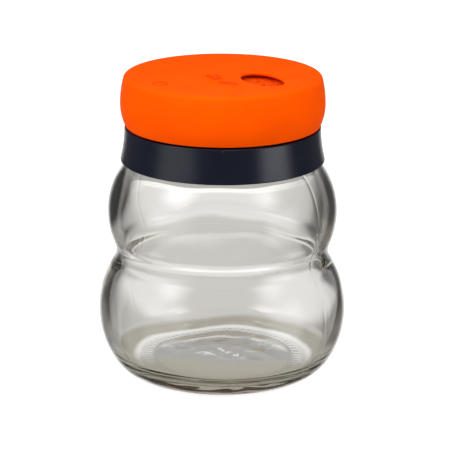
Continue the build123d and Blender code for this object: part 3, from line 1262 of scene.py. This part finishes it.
@dataclass
class Studio:
    """A pale floor, soft lamps and the room that the glass and the gloss show.

    The picture has a plain white ground. What shines or lets light through also shows the
    rest of the room: a table with painted shadow under the jar and painted light behind it, dim
    sides, dark flags and low strip lights. The softboxes show in the gloss, the top one there
    alone, and the washes and the near light only light.
    """

    floor_colour: Colour = (0.62, 0.605, 0.575)
    floor_lift: float = 0.78
    floor_size: float = 6000.0
    floor_drop: float = 0.15
    fill: Colour = (0.42, 0.42, 0.41)
    path_length: int = 32
    # Lamps by name, azimuth, elevation, distance, width, height and strength
    lamps: tuple[Softbox, ...] = (
        Softbox("left softbox", -58.0, 41.0, 620.0, 500.0, 580.0, 4.4),
        Softbox("right softbox", 56.0, 38.0, 640.0, 440.0, 520.0, 2.7),
        Softbox("top softbox", 10.0, 80.0, 520.0, 560.0, 420.0, 7.5, lights=False),
        Softbox("left wash", -58.0, 22.0, 620.0, 500.0, 580.0, 6.0, mirrored=False),
        Softbox("right wash", 56.0, 22.0, 640.0, 440.0, 520.0, 7.0, mirrored=False),
        Softbox("top wash", 0.0, 85.0, 520.0, 560.0, 420.0, 2.0, mirrored=False),
        Softbox("near light", 0.0, 50.0, 90.0, 60.0, 60.0, 9.8, aim=94.0, mirrored=False),
    )
    # The table as the glass shows it: painted shadow under the jar, then painted rings of light and shade
    # going outwards
    painted_shadow_front: Colour = (0.42, 0.395, 0.325)
    painted_shadow_back: Colour = (0.375, 0.37, 0.38)
    painted_shadow_split: tuple[float, float] = (-12.0, 4.0)
    painted_light_and_shade_steps: tuple[Step, ...] = (
        Step(21.0, 23.5, (0.98, 0.97, 0.95)),
        Step(27.0, 30.0, (0.40, 0.375, 0.32)),
        Step(37.0, 45.0, (0.64, 0.63, 0.60)),
        Step(130.0, 180.0, (0.85, 0.84, 0.82)),
        Step(230.0, 300.0, (1.15, 1.15, 1.13)),
    )
    # Painted glints on the table, which show as light in the thick base: an oval, by shift and scale, and
    # the noise in it
    painted_glint_shift: tuple[float, float, float] = (-0.1, -0.85, 0.0)
    painted_glint_scale: tuple[float, float, float] = (90.0, 170.0, 1.0)
    painted_glint_edge: tuple[float, float] = (1.3, 0.3)
    painted_glint_size: float = 4.5
    painted_glint_detail: float = 3.0
    painted_glint_roughness: float = 0.6
    painted_glint_cut: tuple[float, float] = (0.50, 0.60)
    # Painted light on the table in a sector beside the jar
    painted_flank_light: Colour = (0.86, 0.85, 0.84)
    flank: Fan = Fan(0.0, (8.0, 20.0), (42.0, 60.0))
    # Where the table shows at all: straight behind, beside that and close round the jar
    behind: Fan = Fan(-2.5, (18.0, 6.0))
    beside: Fan = Fan(6.0, (42.0, 30.0), (130.0, 95.0))
    close: tuple[float, float] = (50.0, 36.0)
    table_reach: float = 420.0
    table_drop: float = 0.1
    # The room by direction, as the glass shows it and as the gloss mirrors it
    pale_room: Colour = (0.66, 0.655, 0.64)
    through: tuple[Patch, ...] = (
        Patch(-146.0, -20.0, 30.0, 45.0, (0.34, 0.33, 0.30)),
        Patch(146.0, -20.0, 30.0, 45.0, (0.34, 0.33, 0.30)),
        Patch(-149.0, 4.0, 27.0, 17.5, (0.07, 0.068, 0.063), 0.15),
        Patch(149.0, 4.0, 27.0, 17.5, (0.09, 0.085, 0.08), 0.15),
        Patch(180.0, 50.0, 180.0, 40.0, (0.62, 0.62, 0.61)),
        Patch(-176.0, -35.0, 12.0, 60.0, (0.54, 0.53, 0.51), 0.2),
        Patch(0.0, -60.0, 100.0, 35.0, (0.60, 0.59, 0.57)),
        Patch(153.0, -21.0, 16.0, 12.0, (0.20, 0.18, 0.155)),
        Patch(-152.0, -8.0, 16.5, 9.0, (0.028, 0.027, 0.024), 0.35),
        Patch(154.0, -9.0, 16.5, 8.5, (0.04, 0.037, 0.034), 0.35),
    )
    dark_room: Colour = (0.12, 0.12, 0.13)
    mirrored: tuple[Patch, ...] = (
        Patch(180.0, 35.0, 80.0, 30.0, (0.03, 0.03, 0.03)),
        Patch(180.0, -25.0, 24.0, 26.0, (0.9, 0.9, 0.89)),
        Patch(-54.0, -4.0, 22.0, 20.0, (1.3, 1.3, 1.32), 0.5),
        Patch(62.0, -4.0, 17.0, 20.0, (2.7, 2.7, 2.75), 0.5),
    )

    def _sheet(self, name: str, half: float, drop: float) -> bpy.types.Object:
        """Lays a level, square sheet under the jar.

        Args:
            name: Name of the sheet.
            half: Half its side, in millimetres.
            drop: How far it lies below the jar's foot.

        Returns:
            The sheet.
        """
        corners = ((-half, -half), (half, -half), (half, half), (-half, half))
        mesh = bpy.data.meshes.new(name)
        mesh.from_pydata([(x * MM, y * MM, -drop * MM) for x, y in corners], [], [(0, 1, 2, 3)])
        return link(mesh, name)

    def _floor(self) -> bpy.types.Object:
        """Lays the floor, white to the camera, with the jar's soft shadow.

        Returns:
            The floor.
        """
        floor = self._sheet("floor", self.floor_size / 2, self.floor_drop)
        nodes = Nodes.material("pale floor")
        path = nodes.add("ShaderNodeLightPath")
        matt = nodes.add("ShaderNodeBsdfDiffuse")
        matt.inputs["Color"].default_value = (*self.floor_colour, 1.0)
        lift = nodes.sum("MULTIPLY", path.outputs["Is Camera Ray"], self.floor_lift)
        both = nodes.add("ShaderNodeAddShader")
        nodes.wire(matt.outputs["BSDF"], both.inputs[0])
        nodes.wire(nodes.emission(strength=lift), both.inputs[1])
        nodes.wire(both.outputs["Shader"], nodes.out.inputs["Surface"])
        dress(floor, nodes.owner)
        floor.visible_glossy = False
        floor.visible_transmission = False
        return floor

    def _table_colour(self, nodes: Nodes, back: Socket, turn: Socket, away: Socket, near: Socket) -> Socket:
        """Colours the table that the glass shows with painted light and shade: the jar's shadow, a bright
        ring, glints and light beside the jar.

        Args:
            nodes: The table's nodes.
            back: 1 behind the middle of the jar and 0 in front of it.
            turn: Angle from straight behind the jar, in degrees.
            away: Distance from the jar, in metres.
            near: Share of the sector beside the jar.

        Returns:
            The colour.
        """
        # Painted shadow under the jar, then painted rings of light and shade going outwards
        colour = nodes.blend(back, self.painted_shadow_front, self.painted_shadow_back)
        for number, step in enumerate(self.painted_light_and_shade_steps):
            share = nodes.ramp(away, step.start * MM, step.end * MM)
            if number == 0:
                share = nodes.sum("MULTIPLY", share, back)
            colour = nodes.blend(share, colour, step.colour)
        # Painted glints: white noise in an oval under the base
        oval = nodes.add("ShaderNodeMapping")
        oval.inputs["Location"].default_value = self.painted_glint_shift
        oval.inputs["Scale"].default_value = self.painted_glint_scale
        nodes.wire(nodes.place, oval.inputs["Vector"])
        inside = nodes.ramp(nodes.length(oval.outputs["Vector"]), *self.painted_glint_edge)
        noise = nodes.noise(self.painted_glint_size, self.painted_glint_detail, self.painted_glint_roughness)
        painted_glints = nodes.sum("MULTIPLY", nodes.ramp(noise, *self.painted_glint_cut), inside)
        colour = nodes.blend(painted_glints, colour, WHITE)
        # Painted light on the table beside the jar
        flank = nodes.sum("MULTIPLY", self.flank.share(nodes, turn, away), near)
        return nodes.blend(flank, colour, self.painted_flank_light)

    def _table(self) -> bpy.types.Object:
        """Lays what the glass shows of the table: painted shadow under the jar, and painted light further
        back.

        Returns:
            The sheet, which only rays through glass meet.
        """
        table = self._sheet("table_with_painted_shade", self.table_reach, self.table_drop)
        nodes = Nodes.material("table with painted shade and light")
        x, y, _ = nodes.axes(nodes.place)
        away = nodes.length(nodes.place)
        turn = nodes.sum("DEGREES", nodes.sum("ARCTAN2", x, y))
        start, end = self.painted_shadow_split
        back = nodes.ramp(y, start * MM, end * MM)
        near = self.beside.share(nodes, turn, away)
        start, end = self.close
        shown = nodes.sum("MAXIMUM", near, nodes.ramp(away, start * MM, end * MM))
        shown = nodes.sum("MAXIMUM", self.behind.share(nodes, turn, away), shown)
        clear = nodes.add("ShaderNodeBsdfTransparent")
        both = nodes.add("ShaderNodeMixShader")
        nodes.wire(shown, both.inputs[0])
        nodes.wire(clear.outputs[0], both.inputs[1])
        nodes.wire(nodes.emission(self._table_colour(nodes, back, turn, away, near)), both.inputs[2])
        nodes.wire(both.outputs[0], nodes.out.inputs["Surface"])
        dress(table, nodes.owner)
        for kind in ("camera", "diffuse", "glossy", "shadow", "volume_scatter"):
            setattr(table, f"visible_{kind}", False)
        return table

    def _room(self) -> bpy.types.World:
        """Makes the room: white to the camera, and its own for glass, for gloss and as fill.

        Returns:
            The world.
        """
        world = bpy.data.worlds.new("studio")
        bpy.context.scene.world = world
        nodes = Nodes(world, "ShaderNodeOutputWorld")
        path = nodes.add("ShaderNodeLightPath")
        x, y, z = nodes.axes(nodes.add("ShaderNodeTexCoord").outputs["Generated"])
        front = nodes.sum("MULTIPLY", y, -1.0)
        azimuth = nodes.sum("DEGREES", nodes.sum("ARCTAN2", x, front))
        elevation = nodes.sum("DEGREES", nodes.sum("ARCSINE", z))
        seen: Union[Socket, Colour] = self.fill
        for kind, room, patches in (
            ("Is Glossy Ray", self.dark_room, self.mirrored),
            ("Is Transmission Ray", self.pale_room, self.through),
            ("Is Camera Ray", WHITE, ()),
        ):
            for patch in patches:
                room = nodes.blend(patch.share(nodes, azimuth, elevation), room, patch.colour)
            seen = nodes.blend(path.outputs[kind], seen, room)
        ground = nodes.add("ShaderNodeBackground")
        nodes.wire(seen, ground.inputs["Color"])
        nodes.wire(ground.outputs[0], nodes.out.inputs["Surface"])
        return world

    def build(self) -> None:
        """Sets up floor, room, lamps and the lengths of the light's paths through the glass."""
        self._floor()
        self._table()
        self._room()
        for lamp in self.lamps:
            lamp.build()
        scene = bpy.context.scene
        scene.view_settings.view_transform = "Standard"
        for kind in ("max", "transmission", "glossy"):
            setattr(scene.cycles, f"{kind}_bounces", self.path_length)


@dataclass(frozen=True)
class Viewpoint:
    """The camera, where the photograph was taken from; its place and lens are in millimetres."""

    place: tuple[float, float, float] = (0.81, -787.36, 275.46)
    pitch: float = 16.231
    roll: float = 0.2435
    sensor: float = 36.0
    lens: float = 212.38
    clip: tuple[float, float] = (0.01, 20.0)

    def build(self) -> bpy.types.Object:
        """Sets up the camera.

        Returns:
            The camera.
        """
        data = bpy.data.cameras.new("camera")
        data.sensor_width = self.sensor
        data.lens = self.lens
        data.clip_start, data.clip_end = self.clip
        camera = bpy.data.objects.new("camera", data)
        turn = Matrix.Rotation(math.radians(90.0 - self.pitch), 4, "X")
        lean = Matrix.Rotation(math.radians(self.roll), 4, "Z")
        camera.matrix_world = Matrix.Translation(Vector(self.place) * MM) @ turn @ lean
        bpy.context.scene.collection.objects.link(camera)
        bpy.context.scene.camera = camera
        return camera


def main() -> None:
    """Builds the camera, the studio and the jar from the foot up."""
    logging.basicConfig(level=logging.INFO, format="%(name)s: %(message)s")
    Viewpoint().build()
    Studio().build()
    glass = ClearGlass("clear glass", (1.0, 1.0, 0.995), (0.80, 0.785, 0.71), thickness_density=35.0)
    navy = MouldedPlastic(
        "navy plastic",
        (0.007, 0.009, 0.018),
        (0.006, 0.0075, 0.016),
        roughness=0.24,
        polish=0.17,
        specular=0.35,
    )
    insert = MouldedPlastic(
        "insert plastic",
        (0.90, 0.085, 0.001),
        (0.86, 0.075, 0.001),
        roughness=0.36,
        polish=0.28,
        specular=0.2,
    )
    orange = MouldedPlastic(
        "orange plastic",
        (0.98, 0.09, 0.0004),
        (0.95, 0.083, 0.0003),
        roughness=0.5,
        polish=0.42,
        specular=0.006,
    )
    # The marks' finish is the orange darkened: painted shade for the shadows at the marks
    marks = replace(
        orange, name="mark plastic with painted shade", colour=(0.84, 0.062, 0.0004), shade=(0.80, 0.057, 0.0003)
    )
    rubber = SoftRubber("seal rubber", (0.62, 0.60, 0.55), (0.55, 0.53, 0.48))
    for maker in (
        GlassJar(glass),
        SealRing(rubber),
        ScrewCollar(navy),
        ShakerInsert(insert),
        ShakerDial(orange, marks),
    ):
        made = maker.build()
        for piece in made if isinstance(made, list) else [made]:
            LOG.info("%s: %d faces", piece.name, len(piece.data.polygons))


if __name__ == "__main__":
    main()
